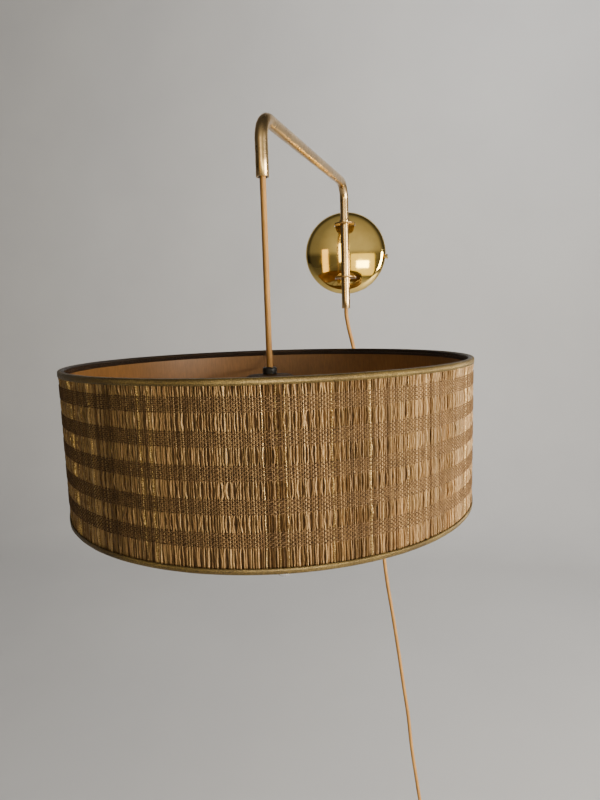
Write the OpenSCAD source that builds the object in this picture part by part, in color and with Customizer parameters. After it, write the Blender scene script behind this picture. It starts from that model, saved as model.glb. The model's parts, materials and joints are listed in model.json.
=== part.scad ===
// Swing arm wall sconce: a brass arm turns in two ears on a round wall canopy,
// and a woven drum shade hangs from the arm's tip on its cloth-covered cord.
// Frame: origin on the wall at the canopy's centre, +Z up, +X right, the room at -Y. Millimetres.

/* [Wall mount] */
// Diameter of the round canopy
canopy_d = 127; // [115:1:140]
// How far the canopy stands off the wall
canopy_depth = 20; // [18:0.5:20.5]
// Width of the ears that hold the arm
ear_w = 31; // [26:1:34]
// Height of the upper ear above the canopy's centre
ear_top_z = 41; // [34:1:44]
// Height of the lower ear, negative below the centre
ear_low_z = -39; // [-44:1:-34]

/* [Arm] */
// Outside diameter of the bent tube
tube_d = 12.7; // [12:0.1:13]
// Distance of the swing axis from the wall
standoff = 30; // [29.5:0.5:34]
// Bottom end of the tube
tube_low_z = -87; // [-110:1:-60]
// Height of the corner above the swing axis
corner_z = 100; // [80:1:140]
// Length of the arm between its two corners
arm_len = 345; // [300:1:450]
// How far the arm droops below level, in degrees
droop = 2; // [0:0.5:4]
// How far the arm is swung to the left of straight out, in degrees
swing = 11.5; // [0:0.5:30]
// Centreline radius of both bends
bend_r = 24; // [20:1:30]
// Length of the down-turned tip below its corner
tip_len = 57; // [45:1:80]

/* [Pendant] */
// Diameter of the cloth-covered cord
cord_d = 6; // [5.6:0.1:6.4]
// Length of cord between the arm's tip and the cord grip
hang = 181; // [120:1:300]

/* [Shade] */
// Outside diameter of the drum
shade_d = 389; // [340:1:400]
// Height of the drum
shade_h = 136; // [134:1:180]
// How far the rim stands above the top of the cord grip
rim_above_grip = 8; // [0:1:12]
// Height of the ribbon on the outside
trim_h = 5; // [4:0.5:8]
// Height of the ribbon folded to the inside
trim_fold_h = 7; // [5:0.5:10]
// Direction of the first spider arm, in degrees from +X
spider_angle = 99.5; // [90:0.5:110]

/* [Pull chain] */
// Diameter of the clear ball on the pull chain
knob_d = 21; // [16:1:24]
// Height of the ball's centre below the cord grip
knob_drop = 195; // [180:1:220]

/* [Hidden] */
$fn = 64;
hair = 0.02;       // a step too small to matter, where two faces would otherwise coincide
through = 1;       // how far a cutting shape runs past a face
tube_r = tube_d / 2;
tube_wall = 1;
cord_r = cord_d / 2;
running = 0.08;    // radial clearance of a shaft that turns in a hole

// Wall bracket and canopy
plate_t = 2;                       // bracket and ear thickness
dome_t = 1;                        // canopy sheet
dome_rim_r = 12;                   // outside radius where the dome turns to the wall
rim_c = canopy_d / 2 - dome_rim_r; // centre of that radius
dome_r = (rim_c * rim_c + canopy_depth * canopy_depth - dome_rim_r * dome_rim_r)
    / (2 * (canopy_depth - dome_rim_r));
dome_blend_x = dome_r * rim_c / (dome_r - dome_rim_r);
side_screw_z = -8;
side_screw_y = -6;
side_screw_r = 2;
side_tab_x = canopy_d / 2 - dome_t - 8.5;
side_tab_w = 12;
side_tab_h = 9.5;
screw_head_r = 4;
screw_head_h = 2;
screw_crown_h = 0.8;
screw_slot_w = 1;
mount_hole_r = 2.5;
mount_hole_z = 25;
slot_gap = 0.8;                    // clearance all round an ear in the canopy's slot

// Bent tube, laid out in the plane of the arm: u outward, v up
corner_turn = 90 + droop;
tip_turn = 90 - droop;
corner_cut = bend_r * tan(corner_turn / 2);
tip_cut = bend_r * tan(tip_turn / 2);
tip_u = arm_len * cos(droop);
tip_v = corner_z - arm_len * sin(droop);
mouth_z = tip_v - tip_len;
collar_r = 8;
collar_h = 4;
washer_t = 0.8;
collar_z = ear_top_z + plate_t / 2 + washer_t;
bushing_len = 7;
bushing_r = tube_r - tube_wall - 0.05;
lap = 1;                           // how far a straight ends inside a bend

// Hanging lamp, on a vertical axis below the arm's tip
lamp_x = -tip_u * sin(swing);
lamp_y = -standoff - tip_u * cos(swing);
grip_top = mouth_z - hang;
grip_h = 6.7;
grip_r = 7.1;
grip_bore_h = 2.1;                 // how far the nipple's bore goes up into the grip
grip_pivot = grip_top - 1.5;
cord_play = 0.3;                   // room round the rounded ends of the pendant cord
cap_top = grip_top - grip_h - 0.3;
cap_r = 23.5;
cap_h = 3;
nipple_r = 4.76;
nipple_bore = 3.6;
nipple_top = grip_top - grip_h + 1.5;
hub_top = cap_top - cap_h;
hub_t = 1.6;
hub_r = 15;
nut_h = 3.5;
socket_top = hub_top - hub_t - nut_h;
socket_cap_h = 16;
socket_r = 18;
socket_wall = 0.8;
shell_top = socket_top - socket_cap_h;
shell_h = 32;
shell_low = shell_top - shell_h;
liner_t = 0.9;
screw_r = 13.9;
screw_h = 24;
bulb_r = 26;
bulb_neck_r = 13.2;
bulb_low = shell_low - 60;
bulb_t = 0.8;
chain_angle = -68;
chain_r = 31;
spout_z = shell_top - 7;
bead_r = 1.6;
bead_pitch = 4.2;

// Shade, from the outside in: ribbon, weave, lining, wire rings
rim_z = grip_top + rim_above_grip;
base_z = rim_z - shade_h;
shade_r = shade_d / 2;
ribbon_t = 0.4;
weave_r = shade_r - ribbon_t - 0.1;
weave_t = 1.4;
lining_r = weave_r - weave_t - 0.1;
lining_t = 0.5;
wire_r = 1.1;
ring_r = lining_r - lining_t - wire_r - 0.1;
ring_in = 2.2;                     // ring centre below the rim
fold_r = ring_r - wire_r - 0.2;    // outside of the folded ribbon
spider_wire_r = 1.7;
spider_foot = 14;                  // crosspiece at the end of each spider arm
spider_weld = 0.2;                 // how far an arm is sunk into the ring it is welded to

// Free supply cord: straight out of the tube, to the wall, and down to a coil
route = [
    [0, -30, -87], [0.5, -30, -100], [4, -28.5, -120], [10, -25, -147], [16, -19, -182], [23, -13, -228],
    [30, -8, -282], [38, -5, -345], [46, -4, -412], [53, -4, -478], [60, -4, -545], [70, -4, -612],
    [79, -4, -677], [87, -4, -738], [95, -4, -798], [101, -4, -860], [108, -4, -912], [115, -4, -962],
    [121, -4.4, -1000], [123, -4.4, -1032]
];
tail_route = [[123, -10.7, -1032], [124, -11, -1042], [125, -11, -1052], [126, -11, -1062]];
ring_steps = 3;
cord_sides = 10;
coil_x = 76;
coil_z = -1032;
coil_in_r = 21.9;
coil_out_r = 50.1;
coil_back = 1.4;                   // wall to the coil's back
coil_t = 12.3;
tie_t = 1;
tie_w = 8;
plug_x = 126;
plug_y = -11;
plug_top = -1062;
plug_relief_h = 20;
plug_w = 24;
plug_t = 18;
plug_h = 30;
blade_gap = 12.7;
blade_w = 6.3;
blade_t = 1.5;
blade_len = 17;

// ---- shared shapes ----

module arm_place() translate([0, -standoff, 0]) rotate([0, 0, -swing]) rotate([90, 0, -90]) children();

module lamp_place() translate([lamp_x, lamp_y, 0]) children();

// A ring or pipe on the Z axis, from z up to z + h
module pipe(r_out, r_in, z, h) {
    translate([0, 0, z]) difference() {
        cylinder(r = r_out, h = h);
        translate([0, 0, -through]) cylinder(r = r_in, h = h + 2 * through);
    }
}

// A bend in the XY plane about its own centre, starting at the angle from
module bend(r, from, turn) {
    rotate([0, 0, from]) rotate_extrude(angle = turn) translate([bend_r, 0]) circle(r = r);
}

// A rod from the point p to the point q
module rod(p, q, r) {
    d = q - p;
    translate(p) rotate([0, acos(d[2] / norm(d)), atan2(d[1], d[0])]) cylinder(r = r, h = norm(d));
}

// The tube's whole run as a solid of radius r; its ends reach past by the given lengths.
// Each straight is a hair thinner than the bends and ends a little way inside them.
module tube_run(r, past_low = 0, past_tip = 0) {
    low = tube_low_z - past_low;
    mouth = mouth_z - past_tip;
    straight_r = r - hair;
    translate([0, low, 0]) rotate([-90, 0, 0])
        cylinder(r = straight_r, h = corner_z - corner_cut - low + lap);
    translate([bend_r, corner_z - corner_cut, 0]) bend(r, 180 - corner_turn, corner_turn);
    translate([(corner_cut - lap) * cos(droop), corner_z - (corner_cut - lap) * sin(droop), 0])
        rotate([0, 90, 0]) rotate([droop, 0, 0])
            cylinder(r = straight_r, h = arm_len - corner_cut - tip_cut + 2 * lap);
    translate([tip_u - bend_r, tip_v - tip_cut, 0]) bend(r, 0, tip_turn);
    translate([tip_u, mouth, 0]) rotate([-90, 0, 0])
        cylinder(r = straight_r, h = tip_v - tip_cut - mouth + lap);
}

function unit(v) = v / norm(v);
function curve_at(a, b, c, d, t) =
    (2 * b + (c - a) * t + (2 * a - 5 * b + 4 * c - d) * t * t + (3 * b - a - 3 * c + d) * t * t * t) / 2;
function smooth(p, n) = [
    for (i = [0 : len(p) - 2]) for (k = [0 : n - 1])
        curve_at(p[max(i - 1, 0)], p[i], p[i + 1], p[min(i + 2, len(p) - 1)], k / n),
    p[len(p) - 1]
];
function along(p, i) = unit(p[min(i + 1, len(p) - 1)] - p[max(i - 1, 0)]);
function ring_points(c, t, r, n) =
    let (side = unit(cross(t, [0, 1, 0])), up = cross(side, t))
    [for (k = [0 : n - 1]) c + r * (cos(360 * k / n) * side + sin(360 * k / n) * up)];

// A cord swept along the smoothed route
module swept_cord(points, r) {
    line = smooth(points, ring_steps);
    last = len(line) - 1;
    n = cord_sides;
    polyhedron(
        points = [for (i = [0 : last]) each ring_points(line[i], along(line, i), r, n)],
        faces = concat(
            [[for (k = [n - 1 : -1 : 0]) k]],
            [[for (k = [0 : n - 1]) last * n + k]],
            [for (i = [0 : last - 1]) for (k = [0 : n - 1])
                [i * n + k, i * n + (k + 1) % n, (i + 1) * n + (k + 1) % n, (i + 1) * n + k]]
        )
    );
}

// ---- wall mount ----

module ear(z) {
    translate([0, -standoff, z - plate_t / 2]) cylinder(r = ear_w / 2, h = plate_t);
    translate([-ear_w / 2, -standoff, z - plate_t / 2]) cube([ear_w, standoff, plate_t]);
}

module wall_bracket() color([0.72, 0.6, 0.36]) {
    difference() {
        union() {
            translate([-ear_w / 2, -plate_t, ear_low_z - plate_t / 2])
                cube([ear_w, plate_t, ear_top_z - ear_low_z + plate_t]);
            ear(ear_top_z);
            ear(ear_low_z);
            translate([0, -plate_t, side_screw_z - side_tab_w / 2]) cube([side_tab_x, plate_t, side_tab_w]);
            translate([side_tab_x - plate_t, -side_tab_h, side_screw_z - side_tab_w / 2])
                cube([plate_t, side_tab_h, side_tab_w]);
        }
        translate([0, -standoff, ear_low_z - plate_t])
            cylinder(r = tube_r + running, h = ear_top_z - ear_low_z + 2 * plate_t);
        for (s = [-1, 1])
            translate([0, through, s * mount_hole_z]) rotate([90, 0, 0])
                cylinder(r = mount_hole_r, h = plate_t + 2 * through);
        translate([side_tab_x + through, side_screw_y, side_screw_z]) rotate([0, -90, 0])
            cylinder(r = side_screw_r, h = plate_t + 2 * through);
    }
}

// The half section of the dome, inset by the sheet's thickness for its inside
module dome_section(inset) {
    intersection() {
        union() {
            intersection() {
                translate([0, canopy_depth - dome_r]) circle(r = dome_r - inset, $fn = 180);
                translate([0, -through]) square([dome_blend_x, canopy_depth + 2 * through]);
            }
            translate([rim_c, 0]) circle(r = dome_rim_r - inset);
        }
        translate([0, inset > 0 ? -through : 0]) square([canopy_d, canopy_depth + 2 * through]);
    }
}

module canopy() color([0.8, 0.65, 0.3]) {
    difference() {
        rotate([90, 0, 0]) rotate_extrude() difference() {
            dome_section(0);
            dome_section(dome_t);
        }
        for (z = [ear_top_z, ear_low_z])
            translate([-ear_w / 2 - slot_gap, -canopy_depth - through, z - plate_t / 2 - slot_gap])
                cube([ear_w + 2 * slot_gap, canopy_depth + through - 2, plate_t + 2 * slot_gap]);
        translate([canopy_d / 2, side_screw_y, side_screw_z]) rotate([0, 90, 0])
            cylinder(r = side_screw_r + 0.2, h = 12, center = true);
    }
}

module canopy_screw() color([0.82, 0.68, 0.36]) {
    head_x = canopy_d / 2;
    crown_x = head_x + screw_head_h;
    shank_x = side_tab_x - plate_t;
    translate([0, side_screw_y, side_screw_z]) rotate([0, 90, 0]) difference() {
        union() {
            translate([0, 0, shank_x]) cylinder(r = side_screw_r - hair, h = head_x - shank_x + hair);
            translate([0, 0, head_x]) cylinder(r = screw_head_r, h = screw_head_h);
            translate([0, 0, crown_x])
                cylinder(r1 = screw_head_r, r2 = screw_head_r - 1, h = screw_crown_h, $fn = 48);
        }
        translate([-screw_slot_w / 2, -screw_head_r - through, crown_x])
            cube([screw_slot_w, 2 * (screw_head_r + through), screw_crown_h + through]);
    }
}

// ---- arm ----

module arm_tube() color([0.62, 0.5, 0.36]) {
    arm_place() difference() {
        tube_run(tube_r);
        tube_run(tube_r - tube_wall, through, through);
    }
}

module stop_collar() color([0.66, 0.54, 0.36]) {
    translate([0, -standoff, 0]) difference() {
        pipe(collar_r, tube_r + 0.02, collar_z, collar_h);
        translate([0, 0, collar_z + collar_h / 2]) rotate([90, 0, 180])
            cylinder(r = 1.25, h = collar_r + through);
    }
}

module collar_screw() color([0.35, 0.33, 0.3]) {
    translate([0, -standoff, collar_z + collar_h / 2]) rotate([90, 0, 180]) difference() {
        translate([0, 0, tube_r + 0.03]) cylinder(r = 1.23, h = collar_r - tube_r - 0.2);
        translate([0, 0, collar_r - 1]) cylinder(r = 0.7, h = 2, $fn = 6);
    }
}

module swing_washer() color([0.88, 0.86, 0.8]) {
    translate([0, -standoff, 0]) pipe(collar_r, tube_r + 0.1, ear_top_z + plate_t / 2, washer_t);
}

// A plastic sleeve in the tube's end that keeps the cord off the cut edge
module bushing() {
    rotate_extrude() difference() {
        polygon([[cord_r + 0.6, 0], [bushing_r, 0], [bushing_r, bushing_len], [cord_r + 0.6, bushing_len]]);
        translate([cord_r + 0.3, -0.3]) circle(r = 1, $fn = 32);
    }
}

module inlet_bushing() color([0.16, 0.14, 0.12]) translate([0, -standoff, tube_low_z + 0.3]) bushing();

module outlet_bushing() color([0.16, 0.14, 0.12]) lamp_place() translate([0, 0, mouth_z + 0.3]) bushing();

module tube_cord() color([0.78, 0.6, 0.36]) {
    arm_place() tube_run(cord_r, -0.3, -cord_r - cord_play);
}

// ---- pendant ----

module pendant_cord() color([0.8, 0.62, 0.38]) lamp_place() {
    translate([0, 0, grip_pivot]) sphere(r = cord_r);
    translate([0, 0, grip_pivot]) cylinder(r = cord_r, h = mouth_z - grip_pivot);
    translate([0, 0, mouth_z]) sphere(r = cord_r);
}

module cord_grip() color([0.06, 0.06, 0.06]) lamp_place() difference() {
    rotate_extrude() polygon([
        [0, grip_top - grip_h], [grip_r, grip_top - grip_h], [grip_r, grip_top - 1.6],
        [grip_r - 0.5, grip_top - 0.5], [grip_r - 1.4, grip_top], [0, grip_top]
    ]);
    translate([0, 0, grip_pivot]) sphere(r = cord_r + cord_play);
    translate([0, 0, grip_pivot])
        cylinder(r1 = cord_r + cord_play, r2 = cord_r + 1.5, h = grip_top - grip_pivot + through);
    translate([0, 0, grip_top - grip_h - through])
        cylinder(r = nipple_r + running, h = grip_bore_h + through);
}

module nipple() color([0.7, 0.6, 0.4]) lamp_place()
    pipe(nipple_r, nipple_bore, socket_top - 6, nipple_top - socket_top + 6);

module top_cap() color([0.16, 0.11, 0.08]) lamp_place() difference() {
    rotate_extrude() polygon([
        [0, cap_top - cap_h], [cap_r, cap_top - cap_h], [cap_r, cap_top - 2.2], [cap_r - 1, cap_top - 1],
        [cap_r - 4, cap_top - 0.3], [10, cap_top], [0, cap_top]
    ]);
    translate([0, 0, cap_top - cap_h - through]) cylinder(r = nipple_r + 0.02, h = cap_h + 2 * through);
}

module spider() color([0.3, 0.26, 0.2]) lamp_place() {
    pipe(hub_r, nipple_r + 0.02, hub_top - hub_t, hub_t);
    for (k = [0 : 2]) rotate([0, 0, spider_angle + 120 * k]) {
        z0 = hub_top - hub_t - spider_wire_r + 0.5;
        z1 = rim_z - ring_in - wire_r - spider_wire_r + spider_weld;
        knee = ring_r - 14;
        end = ring_r - 0.6;
        rod([hub_r - 6, 0, z0], [knee, 0, z0], spider_wire_r);
        translate([knee, 0, z0]) sphere(r = spider_wire_r);
        rod([knee, 0, z0], [end, 0, z1], spider_wire_r);
        rod([end, -spider_foot / 2, z1], [end, spider_foot / 2, z1], spider_wire_r);
    }
}

module lock_nut() color([0.72, 0.62, 0.4]) lamp_place() translate([0, 0, socket_top]) difference() {
    cylinder(r = 8, h = nut_h, $fn = 6);
    translate([0, 0, -through]) cylinder(r = nipple_r + 0.02, h = nut_h + 2 * through);
}

// ---- lampholder ----

module socket_cap() color([0.74, 0.6, 0.3]) lamp_place() difference() {
    rotate_extrude() difference() {
        polygon([[0, shell_top], [socket_r, shell_top], [socket_r, shell_top + 6], [socket_r - 2, shell_top + 11],
                 [10, socket_top], [0, socket_top]]);
        polygon([[0, shell_top - 1], [socket_r - socket_wall, shell_top - 1], [socket_r - socket_wall, shell_top + 5.6],
                 [socket_r - 2.8, shell_top + 10.3], [9.6, socket_top - socket_wall], [0, socket_top - socket_wall]]);
    }
    translate([0, 0, socket_top - 3]) cylinder(r = nipple_r + 0.02, h = 5);
}

module spout_cut() rotate([0, 0, chain_angle])
    translate([socket_r - 5, 0, spout_z]) rotate([0, 90, 0]) cylinder(r = 3.05, h = 8);

module socket_shell() color([0.76, 0.62, 0.32]) lamp_place() difference() {
    union() {
        pipe(socket_r - 0.2, socket_r - socket_wall - 0.2, shell_low, shell_h - 0.1);
        translate([0, 0, shell_low]) rotate_extrude() translate([socket_r - 0.6, 0.8]) circle(r = 0.8, $fn = 32);
    }
    spout_cut();
}

module socket_liner() color([0.7, 0.6, 0.45]) lamp_place() difference() {
    pipe(socket_r - socket_wall - 0.3, socket_r - socket_wall - 0.3 - liner_t, shell_low + 1.5, shell_h - 2);
    spout_cut();
}

module socket_core() color([0.14, 0.09, 0.07]) lamp_place() difference() {
    translate([0, 0, shell_low + screw_h + 1]) cylinder(r = 15.4, h = shell_h - screw_h + 2);
    for (s = [-1, 1]) translate([9 * s, 0, shell_top + 1]) cylinder(r = 1.6, h = 4);
    spout_cut();
}

module screw_shell() color([0.78, 0.64, 0.34]) lamp_place() {
    pipe(screw_r, screw_r - 0.4, shell_low + 1, screw_h);
    for (k = [1 : 6]) translate([0, 0, shell_low + 1 + 3.6 * k - 0.3])
        rotate_extrude() translate([screw_r - 0.05, 0]) circle(r = 0.35, $fn = 16);
}

module centre_contact() color([0.8, 0.55, 0.3]) lamp_place() {
    translate([-2.5, -2.5, shell_low + screw_h + 0.4]) cube([5, 5, 0.6]);
}

module terminal_screws() color([0.75, 0.72, 0.6]) lamp_place()
    for (s = [-1, 1]) translate([9 * s, 0, shell_top + 1]) {
        cylinder(r = 1.58, h = 2.5);
        translate([0, 0, 2.1]) cylinder(r = 3, h = 1.4);
    }

module chain_spout() color([0.76, 0.62, 0.32]) lamp_place() rotate([0, 0, chain_angle]) difference() {
    union() {
        translate([socket_r - 1.2, 0, spout_z]) rotate([0, 90, 0]) cylinder(r = 3, h = chain_r - socket_r + 1.2);
        translate([chain_r, 0, spout_z]) sphere(r = 3);
        translate([chain_r, 0, spout_z - 7]) cylinder(r = 3, h = 7);
        translate([chain_r, 0, spout_z - 7]) cylinder(r1 = 4, r2 = 3, h = 3, $fn = 48);
    }
    translate([chain_r, 0, spout_z - 8]) cylinder(r = 2.2, h = 8);
    translate([chain_r, 0, spout_z]) sphere(r = 2.2);
    translate([socket_r - 3, 0, spout_z]) rotate([0, 90, 0]) cylinder(r = 2.2, h = chain_r - socket_r + 3);
}

module bulb_base() color([0.8, 0.8, 0.78]) lamp_place() {
    translate([0, 0, shell_low - 3]) cylinder(r = bulb_neck_r - 0.4, h = screw_h + 1.5);
    translate([0, 0, shell_low + screw_h - 1.5]) cylinder(r1 = 8, r2 = 4, h = 1.5, $fn = 48);
}

module bulb_section(inset) {
    bulb_c = bulb_low + bulb_r;
    translate([0, bulb_c]) circle(r = bulb_r - inset);
    polygon([[0, bulb_c], [(bulb_r - inset) * cos(28), bulb_c + (bulb_r - inset) * sin(28)],
             [bulb_neck_r + 3.4 - inset, shell_low - 13], [bulb_neck_r - inset, shell_low - 3.3],
             [0, shell_low - 3.3]]);
}

module bulb_glass() color([0.95, 0.94, 0.9, 0.6]) lamp_place() rotate_extrude() intersection() {
    difference() {
        bulb_section(0);
        bulb_section(bulb_t);
    }
    translate([0, bulb_low - through]) square([bulb_r + through, 80]);
}

// ---- shade ----

module wire_ring(z) translate([0, 0, z]) rotate_extrude($fn = 120) translate([ring_r, 0]) circle(r = wire_r, $fn = 24);

module top_ring() color([0.5, 0.45, 0.36]) lamp_place() wire_ring(rim_z - ring_in);

module bottom_ring() color([0.5, 0.45, 0.36]) lamp_place() wire_ring(base_z + ring_in);

module shade_lining() color([0.76, 0.58, 0.38]) lamp_place()
    pipe(lining_r, lining_r - lining_t, base_z + 0.5, shade_h - 1, $fn = 180);

module shade_weave() color([0.5, 0.37, 0.22]) lamp_place()
    pipe(weave_r, weave_r - weave_t, base_z + 0.5, shade_h - 1, $fn = 180);

// A ribbon folded over the rim; side is 1 at the top and -1 at the bottom
module ribbon(z, side) translate([0, 0, z]) mirror([0, 0, side < 0 ? 1 : 0]) {
    pipe(shade_r, shade_r - ribbon_t, -trim_h, trim_h, $fn = 180);
    pipe(shade_r, fold_r - ribbon_t, -ribbon_t, ribbon_t, $fn = 180);
    pipe(fold_r, fold_r - ribbon_t, -trim_fold_h, trim_fold_h, $fn = 180);
}

module top_trim() color([0.36, 0.29, 0.13]) lamp_place() ribbon(rim_z, 1);

module bottom_trim() color([0.36, 0.29, 0.13]) lamp_place() ribbon(base_z, -1);

// ---- pull chain ----

module chain_place() lamp_place() rotate([0, 0, chain_angle]) translate([chain_r, 0, 0]) children();

module pull_chain() color([0.76, 0.64, 0.4]) chain_place() {
    top = spout_z - 1;
    knob_top = grip_top - knob_drop + knob_d / 2;
    beads = floor((top - knob_top) / bead_pitch);
    translate([0, 0, knob_top - 2]) cylinder(r = 0.5, h = top - knob_top + 2);
    for (k = [0 : beads]) translate([0, 0, top - bead_pitch * k]) sphere(r = bead_r, $fn = 16);
}

module chain_knob() color([0.7, 0.7, 0.68, 0.6]) chain_place() difference() {
    union() {
        translate([0, 0, grip_top - knob_drop]) sphere(r = knob_d / 2);
        translate([0, 0, grip_top - knob_drop + knob_d / 2 - 1]) cylinder(r = 2.6, h = 3);
    }
    translate([0, 0, grip_top - knob_drop + knob_d / 2 - 2.2]) cylinder(r = 0.6, h = 5);
}

// ---- free cord ----

module supply_cord() color([0.8, 0.62, 0.38]) swept_cord(route, cord_r);

module cord_tail() color([0.8, 0.62, 0.38]) swept_cord(tail_route, cord_r);

module cord_coil() color([0.8, 0.62, 0.38])
    translate([coil_x, -coil_back, coil_z]) rotate([90, 0, 0]) rotate_extrude() {
        translate([coil_in_r, 2]) square([coil_out_r - coil_in_r, coil_t - 4]);
        translate([coil_in_r + 2, 0]) square([coil_out_r - coil_in_r - 4, coil_t]);
        for (x = [coil_in_r + 2, coil_out_r - 2]) for (y = [2, coil_t - 2]) translate([x, y]) circle(r = 2, $fn = 32);
    }

module cord_tie() color([0.2, 0.17, 0.14]) translate([coil_x, 0, coil_z]) difference() {
    translate([-tie_w / 2, -coil_back - coil_t - tie_t - 0.1, coil_in_r - 0.6 - tie_t])
        cube([tie_w, coil_t + 2 * tie_t + 0.2, coil_out_r - coil_in_r + 0.7 + 2 * tie_t]);
    translate([-tie_w, -coil_back - coil_t - 0.1, coil_in_r - 0.6])
        cube([2 * tie_w, coil_t + 0.2, coil_out_r - coil_in_r + 0.7]);
}

module plug_body() color([0.12, 0.1, 0.08]) translate([plug_x, plug_y, plug_top]) difference() {
    union() {
        translate([0, 0, -plug_relief_h]) cylinder(r1 = 6, r2 = 4, h = plug_relief_h, $fn = 48);
        hull() for (x = [-1, 1]) for (y = [-1, 1])
            translate([x * (plug_w / 2 - 4), y * (plug_t / 2 - 4), -plug_relief_h - plug_h])
                cylinder(r = 4, h = plug_h, $fn = 32);
    }
    for (s = [-1, 1]) translate([s * blade_gap / 2, 0, -plug_relief_h - plug_h])
        cube([blade_t, blade_w, 12], center = true);
}

module plug_blades() color([0.78, 0.72, 0.55]) translate([plug_x, plug_y, plug_top - plug_relief_h - plug_h])
    for (s = [-1, 1]) translate([s * blade_gap / 2 - blade_t / 2, -blade_w / 2, -blade_len])
        difference() {
            cube([blade_t, blade_w, blade_len + 6]);
            translate([-through, blade_w / 2, 3.5]) rotate([0, 90, 0]) cylinder(r = 1.5, h = blade_t + 2 * through);
        }

wall_bracket();
canopy();
canopy_screw();
arm_tube();
stop_collar();
collar_screw();
swing_washer();
inlet_bushing();
outlet_bushing();
tube_cord();
pendant_cord();
cord_grip();
nipple();
top_cap();
spider();
lock_nut();
socket_cap();
socket_shell();
socket_liner();
socket_core();
screw_shell();
centre_contact();
terminal_screws();
chain_spout();
bulb_base();
bulb_glass();
top_ring();
bottom_ring();
shade_lining();
shade_weave();
top_trim();
bottom_trim();
pull_chain();
chain_knob();
supply_cord();
cord_coil();
cord_tail();
cord_tie();
plug_body();
plug_blades();
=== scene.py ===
"""Swing arm wall sconce: the looks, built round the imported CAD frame. Metres, in the CAD's own frame."""

import json
import math
import random

import bmesh
import bpy
import numpy as np
from mathutils import Matrix, Vector


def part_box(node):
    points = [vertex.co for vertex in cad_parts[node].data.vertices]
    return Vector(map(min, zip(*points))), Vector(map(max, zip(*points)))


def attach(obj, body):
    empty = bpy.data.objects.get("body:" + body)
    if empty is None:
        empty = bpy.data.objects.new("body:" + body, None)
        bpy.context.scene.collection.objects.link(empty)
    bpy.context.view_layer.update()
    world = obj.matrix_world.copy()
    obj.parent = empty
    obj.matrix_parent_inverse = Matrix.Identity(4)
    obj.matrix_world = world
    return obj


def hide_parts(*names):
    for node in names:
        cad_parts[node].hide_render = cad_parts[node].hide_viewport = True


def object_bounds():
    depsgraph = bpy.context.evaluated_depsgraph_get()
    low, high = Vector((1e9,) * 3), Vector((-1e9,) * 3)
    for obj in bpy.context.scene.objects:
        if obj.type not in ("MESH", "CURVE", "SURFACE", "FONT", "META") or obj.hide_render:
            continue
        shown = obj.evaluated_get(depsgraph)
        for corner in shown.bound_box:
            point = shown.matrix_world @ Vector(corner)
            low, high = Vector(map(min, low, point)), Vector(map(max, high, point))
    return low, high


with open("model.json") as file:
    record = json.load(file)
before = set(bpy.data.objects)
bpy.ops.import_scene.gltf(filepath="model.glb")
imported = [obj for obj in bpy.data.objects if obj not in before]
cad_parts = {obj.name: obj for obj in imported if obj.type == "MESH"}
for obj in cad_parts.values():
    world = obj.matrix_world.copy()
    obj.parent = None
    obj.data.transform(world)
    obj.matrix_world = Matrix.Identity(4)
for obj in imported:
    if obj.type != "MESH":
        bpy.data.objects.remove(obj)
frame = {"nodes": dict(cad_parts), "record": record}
cad_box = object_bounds()

MM = 0.001
TAU = 2 * math.pi
UP = Vector((0, 0, 1))


def new_object(name, data):
    """A new object, linked into the scene."""
    made = bpy.data.objects.new(name, data)
    bpy.context.collection.objects.link(made)
    return made


def outwards(angle):
    """The level direction at that angle."""
    return Vector((math.cos(angle), math.sin(angle), 0))


# ---------------- camera


def make_camera():
    """A hand-held camera in front of the wall: turned a little left, tilted down and not quite level."""
    place_of_lens = (0.0214, -0.9184, -0.1080)
    yaw, pitch, roll = (math.radians(a) for a in (6.3, 7.79, -1.73))
    level = outwards(yaw)
    forward = UP.cross(level) * math.cos(pitch) - UP * math.sin(pitch)
    upright = level.cross(forward)
    right = level * math.cos(roll) + upright * math.sin(roll)
    up = upright * math.cos(roll) - level * math.sin(roll)
    data = bpy.data.cameras.new("camera")
    data.sensor_width = 36
    data.lens = 25.2
    data.clip_start, data.clip_end = 0.01, 100
    camera = new_object("camera", data)
    turn = Matrix((right, up, -forward)).transposed().to_4x4()
    camera.matrix_world = Matrix.Translation(place_of_lens) @ turn
    bpy.context.scene.camera = camera


make_camera()

# ---------------- node materials


def material(name, **sockets):
    """A new node material, with these sockets of its main shader set."""
    made = bpy.data.materials.new(name)
    made.use_nodes = True
    shader = made.node_tree.nodes["Principled BSDF"]
    for key, value in sockets.items():
        shader.inputs[key.replace("_", " ")].default_value = value
    return made


def add(made, kind, settings=(), **sockets):
    """A shader node of that kind. A socket's value is a number, a colour or another node's output."""
    node = made.node_tree.nodes.new("ShaderNode" + kind)
    for key, value in dict(settings).items():
        setattr(node, key, value)
    for key, value in sockets.items():
        name = key.replace("_", " ")
        socket = node.inputs[int(name[1:]) if name[1:].isdigit() else name]
        if isinstance(value, bpy.types.NodeSocket):
            made.node_tree.links.new(value, socket)
        else:
            socket.default_value = value
    return node


def drive(made, socket, output):
    """Links an output to a socket of the main shader."""
    shader = made.node_tree.nodes["Principled BSDF"]
    made.node_tree.links.new(output, shader.inputs[socket])


def ramp(made, factor, *stops):
    """A colour ramp through (position, colour) stops."""
    node = add(made, "ValToRGB", Fac=factor)
    points = node.color_ramp.elements
    while len(points) < len(stops):
        points.new(0.5)
    for point, (position, colour) in zip(points, stops):
        point.position = position
        point.color = (*colour, 1) if len(colour) == 3 else colour
    return node.outputs["Color"]


def grey(value):
    return (value, value, value)


def place(made, scale=(1, 1, 1)):
    """The point's own place on the object, in metres, times scale."""
    coordinates = add(made, "TexCoord").outputs["Object"]
    return add(made, "Mapping", Vector=coordinates, Scale=scale).outputs["Vector"]


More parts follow.
